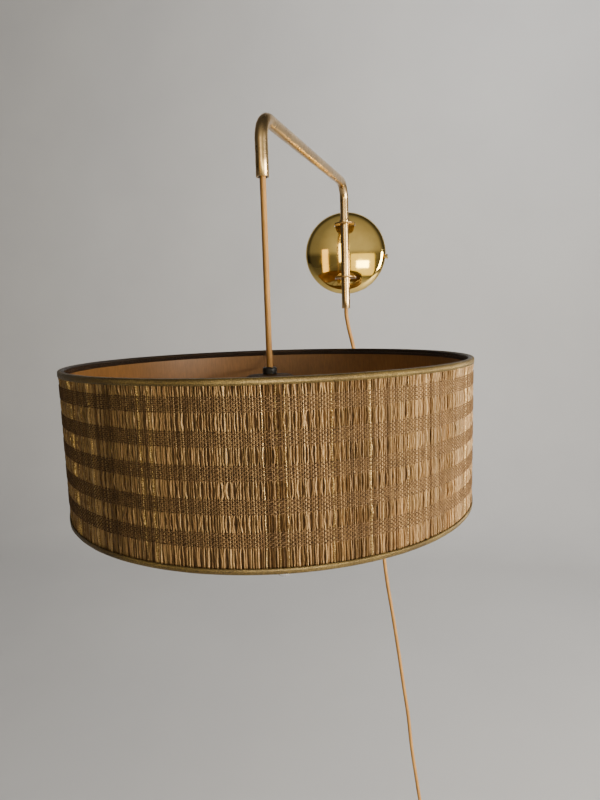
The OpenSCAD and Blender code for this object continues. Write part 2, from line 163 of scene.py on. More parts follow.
def noise(made, vector, scale, detail=3.0, rough=0.55):
    """Cloudy noise over a vector, from 0 to 1."""
    node = add(made, "TexNoise", Vector=vector, Scale=scale, Detail=detail, Roughness=rough)
    return node.outputs["Fac"]


def mix(made, factor, a, b, blend="MIX"):
    """Two colours mixed; the Mix node keeps its colours in sockets 6 and 7, and its result in 2."""
    node = add(made, "Mix", {"data_type": "RGBA", "blend_type": blend})
    for index, value in ((0, factor), (6, a), (7, b)):
        if isinstance(value, bpy.types.NodeSocket):
            made.node_tree.links.new(value, node.inputs[index])
        else:
            node.inputs[index].default_value = (*value, 1) if hasattr(value, "__len__") else value
    return node.outputs[2]


def times(made, a, b):
    """Two colours multiplied."""
    return mix(made, 1.0, a, b, "MULTIPLY")


def maths(made, operation, a, b=0.0):
    return add(made, "Math", {"operation": operation}, _0=a, _1=b).outputs[0]


def bump(made, height, strength, distance):
    node = add(made, "Bump", Height=height, Strength=strength, Distance=distance)
    drive(made, "Normal", node.outputs["Normal"])


def brass(name, bright, dull, tarnish, smooth, rough, specks=0.6):
    """Metal that has aged: patches of tarnish, uneven gloss, fine rubbing marks."""
    made = material(name, Metallic=1.0)
    spot = place(made)
    colour = ramp(made, noise(made, spot, 38, 5), (0.3, dull), (0.62, bright))
    grime = ramp(made, noise(made, spot, 260, 4), (specks, grey(0)), (specks + 0.25, grey(1)))
    drive(made, "Base Color", mix(made, grime, colour, tarnish))
    gloss = ramp(made, noise(made, spot, 90, 4), (0.3, grey(smooth)), (0.8, grey(rough)))
    drive(made, "Roughness", gloss)
    bump(made, noise(made, place(made, (1, 1, 0.15)), 2600, 2), 0.12, 0.00003)
    return made


def plastic(name, colour, worn, rough=0.45, grain=1800.0, depth=0.00004):
    """Moulded plastic with a fine grain and a little handling wear."""
    made = material(name, Roughness=rough)
    spot = place(made)
    patches = noise(made, spot, 120, 4)
    drive(made, "Base Color", ramp(made, patches, (0.35, colour), (0.75, worn)))
    gloss = ramp(made, noise(made, spot, 300), (0.3, grey(rough - 0.08)), (0.7, grey(rough + 0.12)))
    drive(made, "Roughness", gloss)
    bump(made, noise(made, spot, grain, 2), 0.4, depth)
    return made


def straw_material():
    """Dyed straw: every strand has its own tint, with fibres along it and painted highlight flecks; a few
    are speckled gold yarn.
    """
    made = material("straw", Specular_Tint=(1.0, 0.74, 0.40, 1.0))
    tint = add(made, "Attribute", {"attribute_name": "tint"}).outputs["Fac"]
    fibres = noise(made, place(made, (1, 1, 0.035)), 1700, 4, 0.6)
    blotch = noise(made, place(made, (1, 1, 0.3)), 60, 3)
    flecks = noise(made, place(made, (1, 1, 0.6)), 1100, 2)
    base = ramp(
        made,
        tint,
        (0.0, (0.090, 0.045, 0.018)),
        (0.3, (0.185, 0.102, 0.041)),
        (0.55, (0.295, 0.175, 0.072)),
        (0.8, (0.43, 0.275, 0.120)),
        (1.0, (0.58, 0.40, 0.190)),
    )
    streak = ramp(made, fibres, (0.3, grey(0.45)), (0.52, grey(0.95)), (0.8, grey(1.35)))
    shade = ramp(made, blotch, (0.3, (0.72, 0.70, 0.66)), (0.7, (1.12, 1.05, 0.98)))
    # painted highlight: the colour is brightened at small flecks to stand in for glints on the straw
    painted_glint = ramp(made, flecks, (0.55, grey(1.0)), (0.72, grey(1.6)))
    body = times(made, times(made, times(made, base, streak), shade), painted_glint)
    gold = add(made, "Attribute", {"attribute_name": "gold"}).outputs["Fac"]
    beads = noise(made, place(made), 1300, 1)
    yarn = ramp(made, beads, (0.45, (0.16, 0.09, 0.035)), (0.62, (0.66, 0.46, 0.20)))
    drive(made, "Base Color", mix(made, gold, body, yarn))
    drive(made, "Metallic", maths(made, "MULTIPLY", gold, 0.5))
    drive(made, "Roughness", ramp(made, flecks, (0.45, grey(0.5)), (0.7, grey(0.27))))
    bump(made, fibres, 0.8, 0.0003)
    return made


def thread_material():
    """Dark spun thread, mottled, with a fine twist."""
    made = material("weft_thread", Roughness=0.75, Specular_IOR_Level=0.2)
    spot = place(made)
    colour = ramp(
        made,
        noise(made, spot, 240, 4),
        (0.3, (0.070, 0.035, 0.014)),
        (0.55, (0.145, 0.079, 0.032)),
        (0.8, (0.26, 0.152, 0.064)),
    )
    drive(made, "Base Color", colour)
    bump(made, noise(made, place(made, (1, 1, 2.2)), 3200, 2), 0.8, 0.00012)
    return made


def ribbon_material():
    """Grosgrain with a metal thread in it: fine upright ribs round the drum, glinting where light falls,
    with painted glint flecks in the colour, painted shade in the rib grooves, and painted shade with some
    staining on the fold inside the drum.
    """
    made = material("ribbon", Roughness=0.4, Metallic=0.55)
    uv = add(made, "UVMap", {"uv_map": "cloth"}).outputs["UV"]
    wave = {"Scale": 470.0, "Distortion": 0.6, "Detail": 1.0}
    rib = add(made, "TexWave", {"bands_direction": "X"}, Vector=uv, **wave).outputs["Fac"]
    spot = place(made)
    patches = noise(made, spot, 26, 4)
    base = ramp(made, patches, (0.3, (0.11, 0.069, 0.018)), (0.7, (0.205, 0.139, 0.041)))
    # painted highlight: fine flecks brighten the colour up to double, standing in for glints of the metal
    # thread
    painted_glints = ramp(made, noise(made, spot, 1500, 2), (0.42, grey(0.65)), (0.72, grey(2.0)))
    # painted shade: the colour is darker in the grooves between the ribs
    shade = ramp(made, rib, (0.1, grey(0.55)), (0.8, grey(1.1)))
    cloth = times(made, times(made, base, painted_glints), shade)
    # painted shade, with some staining: the ribbon's fold inside the drum is darkened
    inside = add(made, "Attribute", {"attribute_name": "inside"}).outputs["Fac"]
    drive(made, "Base Color", mix(made, inside, cloth, times(made, cloth, (0.13, 0.085, 0.045))))
    bump(made, rib, 0.8, 0.0002)
    return made


def lining_material():
    """Tan card with a faint upright grain."""
    made = material("lining", Roughness=0.5)
    spot = place(made)
    patches = noise(made, spot, 14, 4)
    base = ramp(made, patches, (0.3, (0.20, 0.085, 0.017)), (0.72, (0.25, 0.108, 0.023)))
    grain = noise(made, place(made, (1, 1, 0.2)), 500, 3)
    fleck = ramp(made, grain, (0.35, grey(0.8)), (0.7, grey(1.05)))
    drive(made, "Base Color", times(made, base, fleck))
    bump(made, noise(made, place(made, (1, 1, 0.12)), 900, 3), 0.35, 0.0001)
    return made


def cord_material():
    """Cloth-covered cord: two sets of fine strands wound opposite ways, with painted shade in the grooves
    between them and a painted highlight on their crowns.
    """
    made = material("cord_cloth", Roughness=0.55, Sheen_Weight=0.12, Sheen_Roughness=0.3)
    uv = add(made, "UVMap", {"uv_map": "cloth"}).outputs["UV"]
    split = add(made, "SeparateXYZ", Vector=uv)
    around, along = split.outputs["X"], split.outputs["Y"]
    strands, pitch = 10.0, 520.0
    waves = []
    for way in (1.0, -1.0):
        climb = maths(made, "MULTIPLY", along, way * pitch)
        turn = maths(made, "ADD", maths(made, "MULTIPLY", around, strands), climb)
        waves.append(maths(made, "SINE", maths(made, "MULTIPLY", turn, TAU)))
    weave = maths(made, "MULTIPLY", waves[0], waves[1])
    height = maths(made, "MULTIPLY_ADD", weave, 0.5)
    height.node.inputs[2].default_value = 0.5
    patches = noise(made, place(made), 70, 4)
    base = ramp(made, patches, (0.3, (0.42, 0.190, 0.030)), (0.7, (0.52, 0.255, 0.050)))
    # painted shade in the grooves between strands, and a painted highlight on their crowns
    shade = ramp(made, height, (0.1, grey(0.62)), (0.6, grey(1.0)), (1.0, grey(1.12)))
    drive(made, "Base Color", times(made, base, shade))
    bump(made, height, 0.75, 0.00022)
    return made


def wire_material(name, dark, worn):
    """Lacquer on steel, a little uneven, rubbed paler in places."""
    made = material(name, Specular_IOR_Level=0.08)
    spot = place(made)
    colour = ramp(made, noise(made, spot, 160, 5), (0.35, dark), (0.75, worn))
    drive(made, "Base Color", colour)
    drive(made, "Roughness", ramp(made, noise(made, spot, 420), (0.3, grey(0.5)), (0.7, grey(0.75))))
    bump(made, noise(made, spot, 1500, 3), 0.35, 0.00006)
    return made


def clear_material(name, tint, rough, weight):
    """Glass or clear plastic; weight is the share of light that passes through."""
    made = material(name, Roughness=rough, IOR=1.49, Transmission_Weight=weight)
    spot = place(made)
    paler = tuple(min(1, c * 1.12) for c in tint)
    drive(made, "Base Color", ramp(made, noise(made, spot, 90, 3), (0.3, tint), (0.7, paler)))
    smudge = noise(made, spot, 220, 4)
    drive(made, "Roughness", ramp(made, smudge, (0.35, grey(rough)), (0.8, grey(rough + 0.1))))
    return made


def brasses():
    """The metal finishes: bright, dull and tarnish colours, then smooth and rough gloss and specks."""
    kinds = {
        "polished_brass": ((0.90, 0.65, 0.20), (0.80, 0.55, 0.155), (0.42, 0.27, 0.075), 0.05, 0.11, 0.72),
        "aged_brass": ((0.62, 0.43, 0.21), (0.48, 0.32, 0.15), (0.23, 0.145, 0.065), 0.24, 0.34, 0.66),
        "bracket_brass": ((0.32, 0.20, 0.085), (0.23, 0.14, 0.055), (0.11, 0.065, 0.025), 0.3, 0.5),
        "socket_brass": ((0.80, 0.60, 0.28), (0.66, 0.48, 0.21), (0.30, 0.20, 0.09), 0.2, 0.36),
        "dark_steel": ((0.2, 0.19, 0.18), (0.12, 0.115, 0.11), (0.05, 0.04, 0.035), 0.3, 0.5),
        "bulb_metal": ((0.80, 0.80, 0.79), (0.66, 0.66, 0.65), (0.4, 0.38, 0.34), 0.22, 0.4),
    }
    return {name: brass(name, *values) for name, values in kinds.items()}


MATERIALS = {
    **brasses(),
    "nylon": plastic("nylon", (0.66, 0.62, 0.52), (0.56, 0.5, 0.4), 0.45),
    "black_plastic": plastic("black_plastic", (0.006, 0.006, 0.006), (0.016, 0.015, 0.014), 0.5),
    "phenolic": plastic("phenolic", (0.03, 0.018, 0.012), (0.055, 0.034, 0.022), 0.3),
    "fibre_board": plastic("fibre_board", (0.30, 0.21, 0.12), (0.22, 0.15, 0.08), 0.75, 900),
    "tie_strap": plastic("tie_strap", (0.02, 0.016, 0.013), (0.045, 0.037, 0.03), 0.8, 1400, 0.00012),
    "plug_brown": plastic("plug_brown", (0.022, 0.014, 0.01), (0.05, 0.034, 0.025), 0.42),
    "bronze_paint": wire_material("bronze_paint", (0.030, 0.014, 0.006), (0.065, 0.034, 0.015)),
    "shade_wire": wire_material("shade_wire", (0.05, 0.03, 0.014), (0.13, 0.08, 0.04)),
    "woven_straw": straw_material(),
    "weft_thread": thread_material(),
    "ribbon": ribbon_material(),
    "lining_card": lining_material(),
    "cord_cloth": cord_material(),
    "clear_acrylic": clear_material("clear_acrylic", (0.15, 0.13, 0.12), 0.05, 0.7),
    "frosted_glass": clear_material("frosted_glass", (0.93, 0.92, 0.88), 0.38, 0.75),
}
for entry in frame["record"]["subparts"]:
    node = frame["nodes"][entry["node"]]
    node.data.materials.clear()
    node.data.materials.append(MATERIALS[entry["material_slot"]])

# ---------------- mesh helpers


def piece(name, verts, faces, body, slot, stands_for=(), uv=None, look=None):
    """A new mesh piece that rides on a body, with the finish of its slot unless look names another."""
    mesh = bpy.data.meshes.new(name)
    mesh.from_pydata([tuple(v) for v in verts], [], [tuple(f) for f in faces])
    mesh.validate()
    if uv is not None:
        layer = mesh.uv_layers.new(name="cloth")
        layer.data.foreach_set("uv", np.asarray(uv, dtype=np.float32).ravel())
    mesh.materials.append(MATERIALS[look or slot])
    mesh.shade_smooth()
    made = new_object(name, mesh)
    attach(made, body)
    if stands_for:
        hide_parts(*stands_for)
    return made


def grid(rings, sides, closed=False, caps=True):
    """Faces of a tube of rings with that many sides each; closed joins the last ring to the first."""
    faces = []
    for i in range(rings if closed else rings - 1):
        a, b = i * sides, (i + 1) % rings * sides
        faces += [(a + k, a + (k + 1) % sides, b + (k + 1) % sides, b + k) for k in range(sides)]
    if caps and not closed:
        faces.append(tuple(range(sides - 1, -1, -1)))
        faces.append(tuple((rings - 1) * sides + k for k in range(sides)))
    return faces


def directions(line):
    """Which way a line of vectors runs at each of its points."""
    last = len(line) - 1
    return [(line[min(i + 1, last)] - line[max(i - 1, 0)]).normalized() for i in range(last + 1)]


def frames_along(line):
    """A side and an up direction at each point of a line, carried along it without twist."""
    ways = directions([Vector(p) for p in line])
    side = ways[0].orthogonal().normalized()
    out = []
    for way in ways:
        side = (side - way * side.dot(way)).normalized()
        out.append((side, way.cross(side)))
    return out


def sweep(line, radius, sides):
    """A tube along a line. Returns its points, faces and cloth coordinates (turns round, metres along)."""
    verts, along, length = [], [], 0.0
    for i, (p, (side, up)) in enumerate(zip(line, frames_along(line))):
        if i:
            length += (Vector(p) - Vector(line[i - 1])).length
        along.append(length)
        r = radius(length) if callable(radius) else radius
        for k in range(sides):
            a = TAU * k / sides
            verts.append(Vector(p) + r * (math.cos(a) * side + math.sin(a) * up))
    faces = grid(len(line), sides)
    uv = []
    for i in range(len(line) - 1):
        for k in range(sides):
            for du, dv in ((0, 0), (1, 0), (1, 1), (0, 1)):
                uv.append(((k + du) / sides, along[i + dv]))
    uv += [(0.0, 0.0)] * (2 * sides)
    return verts, faces, uv


def smooth_line(points, spacing):
    """The curve through the points, sampled about spacing apart."""
    points = [Vector(p) for p in points]
    out = []
    for i in range(len(points) - 1):
        a, b = points[max(i - 1, 0)], points[i]
        c, d = points[i + 1], points[min(i + 2, len(points) - 1)]
        steps = max(1, round((c - b).length / spacing))
        for k in range(steps):
            t = k / steps
            square, cube = 2 * a - 5 * b + 4 * c - d, 3 * b - a - 3 * c + d
            out.append((2 * b + (c - a) * t + square * t * t + cube * t * t * t) / 2)
    out.append(points[-1])
    return out


def filleted(points, radius, steps):
    """A line with its corners rounded to a radius."""
    points = [Vector(p) for p in points]
    out = [points[0]]
    for before, corner, after in zip(points, points[1:], points[2:]):
        a, b = (corner - before).normalized(), (after - corner).normalized()
        turn = a.angle(b)
        cut = radius * math.tan(turn / 2)
        centre = corner + (b - a).normalized() * (radius / math.cos(turn / 2))
        start = corner - a * cut - centre
        axis = a.cross(b).normalized()
        for k in range(steps + 1):
            out.append(centre + Matrix.Rotation(turn * k / steps, 3, axis) @ start)
    out.append(points[-1])
    return out


def rounded(profile, radius, steps=4):
    """A closed outline with its corners rounded; radius is cut down where a side is short."""
    n = len(profile)
    points = [Vector((x, y, 0)) for x, y in profile]
    out = []
    for i in range(n):
        before, corner, after = points[i - 1], points[i], points[(i + 1) % n]
        a, b = corner - before, after - corner
        turn = a.angle(b)
        if turn < 0.12:
            out.append((corner.x, corner.y))
            continue
        r = min(radius, 0.45 * min(a.length, b.length) / math.tan(turn / 2))
        cut = r * math.tan(turn / 2)
        centre = corner + (b.normalized() - a.normalized()).normalized() * (r / math.cos(turn / 2))
        start = corner - a.normalized() * cut - centre
        axis = a.cross(b).normalized()
        for k in range(steps + 1):
            p = centre + Matrix.Rotation(turn * k / steps, 3, axis) @ start
            out.append((p.x, p.y))
    return out


def lathe(profile, centre, sides):
    """A closed outline of (radius, height) points turned about the upright through centre."""
    centre = Vector(centre)
    verts = []
    for k in range(sides):
        c, s = math.cos(TAU * k / sides), math.sin(TAU * k / sides)
        verts += [Vector((r * c, r * s, h)) + centre for r, h in profile]
    return verts, grid(sides, len(profile), closed=True)


def ear_plate(z, half, thick, reach, hole, bevel):
    """A flat ear: square at the wall, round in front, with a hole at the middle of the round end."""
    sides = 96
    corner = math.atan2(reach, half)
    angles = sorted([TAU * k / sides for k in range(sides)] + [corner, math.pi - corner])
    low, high = z - thick / 2, z + thick / 2
    verts = []
    for a in angles:
        edge = half
        if math.sin(a) > 0:
            edge = min(half / max(abs(math.cos(a)), 1e-6), reach / math.sin(a))
        section = (
            (hole, low + bevel), (hole + bevel, low), (edge - bevel, low), (edge, low + bevel),
            (edge, high - bevel), (edge - bevel, high), (hole + bevel, high), (hole, high - bevel),
        )
        verts += [Vector((r * math.cos(a), r * math.sin(a) - STANDOFF, h)) for r, h in section]
    return verts, grid(len(angles), len(section), closed=True)


def angle_smooth(made, degrees):
    """Smooth shading, kept sharp where faces meet at more than that angle."""
    made.data.shade_smooth()
    made.data.set_sharp_from_angle(angle=math.radians(degrees))


# ---------------- places, repeated from the CAD source

STANDOFF = 30 * MM
TUBE_R = 6.35 * MM
TUBE_LOW = -87 * MM
CORNER_Z = 100 * MM
ARM_LEN = 345 * MM
DROOP = math.radians(2)
SWING = math.radians(11.5)
BEND_R = 24 * MM
TIP_LEN = 57 * MM
CORD_R = 3 * MM
HANG = 181 * MM
EAR_W = 31 * MM
EAR_TOP, EAR_LOW = 41 * MM, -39 * MM
SIDE_SCREW = (-6 * MM, -8 * MM)
MOUTH = CORNER_Z - ARM_LEN * math.sin(DROOP) - TIP_LEN
OUT = Vector((-math.sin(SWING), -math.cos(SWING), 0))
LAMP = Vector((0, -STANDOFF, 0)) + OUT * ARM_LEN * math.cos(DROOP)
GRIP_TOP = MOUTH - HANG
GRIP_PIVOT = GRIP_TOP - 1.5 * MM


def upright(node):
    """The lowest and highest z of a CAD node."""
    low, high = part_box(node)
    return low[2], high[2]


RIM = upright("top_trim")[1]
BASE = upright("bottom_trim")[0]

# ---------------- cords

ROUTE = [
    (0, -0.030, -0.087), (0.0005, -0.030, -0.100), (0.004, -0.0285, -0.120), (0.010, -0.025, -0.147),
    (0.016, -0.019, -0.182), (0.023, -0.013, -0.228), (0.030, -0.008, -0.282), (0.038, -0.005, -0.345),
    (0.046, -0.004, -0.412), (0.053, -0.004, -0.478), (0.060, -0.004, -0.545), (0.070, -0.004, -0.612),
    (0.079, -0.004, -0.677), (0.087, -0.004, -0.738), (0.095, -0.004, -0.798), (0.101, -0.004, -0.860),
    (0.108, -0.004, -0.912), (0.115, -0.004, -0.962), (0.121, -0.0044, -1.000), (0.123, -0.0044, -1.032),
]
TAIL = [
    (0.123, -0.0107, -1.032), (0.124, -0.011, -1.042), (0.125, -0.011, -1.052), (0.126, -0.011, -1.062),
    (0.126, -0.011, -1.070),
]
COIL = Vector((0.076, 0, -1.032))
COIL_TURNS = 3.5
COIL_OUT, COIL_IN = 0.047, 0.025
LAYERS = (-0.0044, -0.0107)
CORD_STEP = 1.6 * MM


def coil_line():
    """Two flat spirals, inwards against the wall and outwards in front of it."""
    total = TAU * COIL_TURNS
    climb = 1.2
    out = []
    for layer in (0, 1):
        angle = 0.0
        while angle < total:
            share = angle / total
            r = COIL_OUT + (COIL_IN - COIL_OUT) * (share if layer == 0 else 1 - share)
            turned = -(angle + layer * total)
            rise = min(1.0, angle / climb) if layer else 0.0
            rise = rise * rise * (3 - 2 * rise)
            y = LAYERS[0] + (LAYERS[1] - LAYERS[0]) * rise
            out.append(COIL + Vector((r * math.cos(turned), y, r * math.sin(turned))))
            angle += CORD_STEP / r
    return out


def make_cords():
    """The lead down the wall, the cord that hangs from the tube's mouth, and the cord inside the tube."""
    lead_line = smooth_line(ROUTE, CORD_STEP)[:-1] + coil_line() + smooth_line(TAIL, CORD_STEP)
    verts, faces, uv = sweep(lead_line, CORD_R, 14)
    lead = piece("lead", verts, faces, "mount", "cord_cloth", ("supply_cord", "cord_coil", "cord_tail"), uv)

    top = MOUTH + 2.4 * MM
    straight, steps = top - GRIP_PIVOT, 120
    heights = [top - straight * k / steps for k in range(steps + 1)]
    heights += [GRIP_PIVOT - CORD_R * math.sin(math.radians(a)) for a in (15, 30, 45, 60, 72, 82)]
    hanging_line = [LAMP + UP * z for z in heights]

    def round_end(length):
        """The cord's radius, drawn in to a ball end past the straight run."""
        return math.sqrt(CORD_R**2 - max(0.0, length - straight) ** 2)

    verts, faces, uv = sweep(hanging_line, round_end, 20)
    hanging = piece("hanging_lead", verts, faces, "hanging_cord", "cord_cloth", ("pendant_cord",), uv)

    inside_line = tube_line(TUBE_LOW + 0.3 * MM, MOUTH + 3.4 * MM)
    verts, faces, uv = sweep(inside_line, CORD_R, 14)
    piece("lead_in_tube", verts, faces, "arm", "cord_cloth", ("tube_cord",), uv)
    return lead, lead_line, hanging, hanging_line


def tube_line(low, mouth):
    """The bent tube's centreline, from its bottom end to its mouth."""
    foot = Vector((0, -STANDOFF, 0))
    tip = LAMP + UP * (CORNER_Z - ARM_LEN * math.sin(DROOP))
    return filleted([foot + UP * low, foot + UP * CORNER_Z, tip, LAMP + UP * mouth], BEND_R, 20)


lead, lead_line, hanging, hanging_line = make_cords()

# ---------------- wall mount


def make_canopy():
    """The spun dome with its rolled rim, and the two slots that the ears come out of."""
    half, depth, rim_r, sheet = 63.5 * MM, 20 * MM, 12 * MM, 1 * MM
    rim_c = half - rim_r
    big = (rim_c**2 + depth**2 - rim_r**2) / (2 * (depth - rim_r))
    blend = math.asin(rim_c / (big - rim_r))

    def arc(inset):
        """The dome's outline from beside its middle to the wall, moved inwards."""
        crown_r, turn_r, crown_steps, turn_steps = big - inset, rim_r - inset, 34, 16
        crown = [blend * k / crown_steps for k in range(1, crown_steps + 1)]
        turn = [blend + (math.pi / 2 - blend) * k / turn_steps for k in range(1, turn_steps + 1)]
        line = [(crown_r * math.sin(a), depth - big + crown_r * math.cos(a)) for a in crown]
        return line + [(rim_c + turn_r * math.sin(a), turn_r * math.cos(a)) for a in turn]

    outer, inner = arc(0), arc(sheet)
    sides = 192
    verts = [Vector((0, -depth, 0)), Vector((0, -depth + sheet, 0))]
    profile = outer + inner[::-1]
    n = len(profile)
    for k in range(sides):
        c, s = math.cos(TAU * k / sides), math.sin(TAU * k / sides)
        verts += [Vector((r * c, -h, r * s)) for r, h in profile]
    faces = []
    for k in range(sides):
        a, b = 2 + k * n, 2 + (k + 1) % sides * n
        faces += [(a + i, a + i + 1, b + i + 1, b + i) for i in range(n - 1)]
        faces += [(0, a, b), (1, b + n - 1, a + n - 1)]
    dome = piece("canopy_dome", verts, faces, "mount", "polished_brass", ("canopy",))
    mesh = bmesh.new()
    mesh.from_mesh(dome.data)
    bmesh.ops.recalc_face_normals(mesh, faces=mesh.faces[:])
    mesh.to_mesh(dome.data)
    mesh.free()
    gap = 0.6 * MM
    for z in (EAR_TOP, EAR_LOW):
        low = (-EAR_W / 2 - gap, -depth - 2 * MM, z - MM - gap)
        high = (EAR_W / 2 + gap, -2 * MM, z + MM + gap)
        cut(dome, *box_mesh(low, high))
    cut(dome, *rod_mesh((55 * MM, *SIDE_SCREW), (70 * MM, *SIDE_SCREW), 2.2 * MM))
    angle_smooth(dome, 40)


def box_mesh(low, high):
    """A box between two opposite corners."""
    xs, ys, zs = zip(low, high)
    verts = [Vector((x, y, z)) for x in xs for y in ys for z in zs]
    faces = [(0, 1, 3, 2), (4, 6, 7, 5), (0, 4, 5, 1), (2, 3, 7, 6), (0, 2, 6, 4), (1, 5, 7, 3)]
    return verts, faces


def rod_mesh(start, end, radius, sides=32):
    """A closed rod from start to end."""
    verts, faces, _ = sweep([Vector(start), Vector(end)], radius, sides)
    return verts, faces


def cut(made, verts, faces):
    """Cuts a closed shape out of a piece."""
    mesh = bpy.data.meshes.new("cutter")
    mesh.from_pydata([tuple(v) for v in verts], [], faces)
    tool = new_object("cutter", mesh)
    step = made.modifiers.new("cut", "BOOLEAN")
    step.operation, step.object, step.solver = "DIFFERENCE", tool, "EXACT"
    bpy.context.view_layer.update()
    result = bpy.data.meshes.new_from_object(made.evaluated_get(bpy.context.evaluated_depsgraph_get()))
    made.modifiers.clear()
    made.data = result
    bpy.data.objects.remove(tool)


def make_bracket():
    """The strap behind the canopy, its tab for the side screw, and the two ears that hold the tube."""
    thick = 2 * MM
    half, hole = EAR_W / 2, TUBE_R + 0.12 * MM
    verts, faces = [], []
    parts = [ear_plate(z, half, thick, STANDOFF - MM, hole, 0.35 * MM) for z in (EAR_TOP, EAR_LOW)]
    parts.append(box_mesh((-half, -thick, EAR_LOW - MM), (half, 0, EAR_TOP + MM)))
    tab = 54 * MM
    tab_low, tab_high = -14 * MM, -2 * MM
    parts.append(box_mesh((0, -thick, tab_low), (tab, 0, tab_high)))
    parts.append(box_mesh((tab - thick, -9.5 * MM, tab_low), (tab, 0, tab_high)))
    for v, f in parts:
        faces += [[i + len(verts) for i in face] for face in f]
        verts += v
    made = piece("strap_with_ears", verts, faces, "mount", "bracket_brass", ("wall_bracket",))
    for z in (25 * MM, -25 * MM):
        cut(made, *rod_mesh((0, -5 * MM, z), (0, 2 * MM, z), 2.5 * MM))
    cut(made, *rod_mesh((48 * MM, *SIDE_SCREW), (60 * MM, *SIDE_SCREW), 2 * MM))
    angle_smooth(made, 30)


make_canopy()
make_bracket()

# ---------------- arm


def make_arm():
    """The bent tube with its wall showing at both ends, and the stop collar."""
    line = tube_line(TUBE_LOW, MOUTH)
    sides, wall, lip = 64, 1 * MM, 0.25 * MM
    first_lip = line[0] + (line[1] - line[0]).normalized() * lip
    last_lip = line[-1] + (line[-2] - line[-1]).normalized() * lip
    stops = [line[0], first_lip, *line[1:-1], last_lip, line[-1]]
    dense, apart = [], 12 * MM
    for a, b in zip(stops, stops[1:]):
        steps = max(1, int((b - a).length / apart))
        dense += [a + (b - a) * k / steps for k in range(steps)]
    dense.append(stops[-1])
    last = len(dense) - 1
    outer = [TUBE_R - (lip if i in (0, last) else 0) for i in range(len(dense))]
    inner = [TUBE_R - wall + (lip if i in (0, last) else 0) * 0.4 for i in range(len(dense))]
    verts = []
    turns = [(math.cos(TAU * k / sides), math.sin(TAU * k / sides)) for k in range(sides)]
    for radii in (outer, inner):
        for p, (side, up), r in zip(dense, frames_along(dense), radii):
            verts += [p + r * (c * side + s * up) for c, s in turns]
    n = len(dense)
    faces = grid(n, sides, caps=False)
    faces += [tuple(i + n * sides for i in reversed(f)) for f in grid(n, sides, caps=False)]
    for ring, flip in ((0, False), (last, True)):
        for k in range(sides):
            a, b = ring * sides + k, ring * sides + (k + 1) % sides
            face = (a, a + n * sides, b + n * sides, b)
            faces.append(face[::-1] if flip else face)
    piece("bent_tube", verts, faces, "arm", "aged_brass", ("arm_tube",))

    low, high = upright("stop_collar")
    hole, wide = TUBE_R + 0.03 * MM, 8 * MM
    ring = rounded([(hole, low), (wide, low), (wide, high), (hole, high)], 0.6 * MM, 5)
    verts, faces = lathe(ring, (0, -STANDOFF, 0), 72)
    piece("collar", verts, faces, "arm", "aged_brass", ("stop_collar",))


make_arm()

# ---------------- hanging hardware


NIPPLE_HOLE = 4.8 * MM


def make_grip():
    """The cord grip: a bore for the cord, a wider seat for the nipple below, and a groove outside."""
    low = upright("cord_grip")[0]
    bore, seat, wide = CORD_R + 0.3 * MM, 4.95 * MM, 7.1 * MM
    seat_top, groove = low + 2.1 * MM, wide - 0.35 * MM
    outline = [
        (bore, seat_top), (seat, seat_top), (seat, low), (wide, low), (wide, low + 1.2 * MM),
        (groove, low + 1.4 * MM), (groove, low + 1.9 * MM), (wide, low + 2.1 * MM),
        (wide, GRIP_TOP - 1.4 * MM), (wide - 1.2 * MM, GRIP_TOP),
        (4.4 * MM, GRIP_TOP), (bore, GRIP_TOP - 1.2 * MM),
    ]
    verts, faces = lathe(rounded(outline, 0.5 * MM, 5), LAMP, 72)
    piece("cord_grip_body", verts, faces, "grip", "black_plastic", ("cord_grip",))


def make_cap():
    """The shallow cap disc under the grip."""
    low, high = upright("top_cap")
    wide = 23.5 * MM
    outline = [
        (NIPPLE_HOLE, low), (wide - 0.5 * MM, low), (wide, low + 0.5 * MM), (wide, low + 0.9 * MM),
        (21 * MM, high - 0.9 * MM), (14 * MM, high - 0.3 * MM), (9 * MM, high), (NIPPLE_HOLE, high),
    ]
    verts, faces = lathe(rounded(outline, 0.5 * MM, 5), LAMP, 96)
    piece("cap_disc", verts, faces, "lamp", "bronze_paint", ("top_cap",))


make_grip()
make_cap()

# ---------------- shade

WARPS = 660
WEAVE_R = 193.1 * MM
BANDS = 5
BAND, BARE, TOP_BARE, EDGE = 11.4 * MM, 12 * MM, 7 * MM, 5 * MM
THREADS, THREAD_R = 8, 0.43 * MM
GOLD_SHARE = 0.06


def bands():
    """Top and bottom of each woven band, from the top down."""
    out, z = [], RIM - EDGE - TOP_BARE
    for _ in range(BANDS):
        out.append((z, z - BAND))
        z -= BAND + BARE
    return out


def warp_angles(rng):
    """Uneven places round the drum, one for each warp end, and the room that each has."""
    steps = [1 + rng.uniform(-0.2, 0.2) for _ in range(WARPS)]
    total, angle, out = sum(steps), 0.0, []
    for step in steps:
        out.append((angle + step / 2) * TAU / total)
        angle += step
    return out, [s * TAU / total for s in steps]


def bunches(rng, angles):
    """Small groups of neighbours, as each strand's lean towards its group's middle."""
    lean, first = [], 0
    while first < WARPS:
        size = min(rng.choice((1, 2, 2, 2, 3, 3)), WARPS - first)
        group = angles[first : first + size]
        middle = sum(group) / size
        pull = rng.uniform(0.2, 0.5)
        lean += [(middle - a) * pull for a in group]
        first += size
    return lean


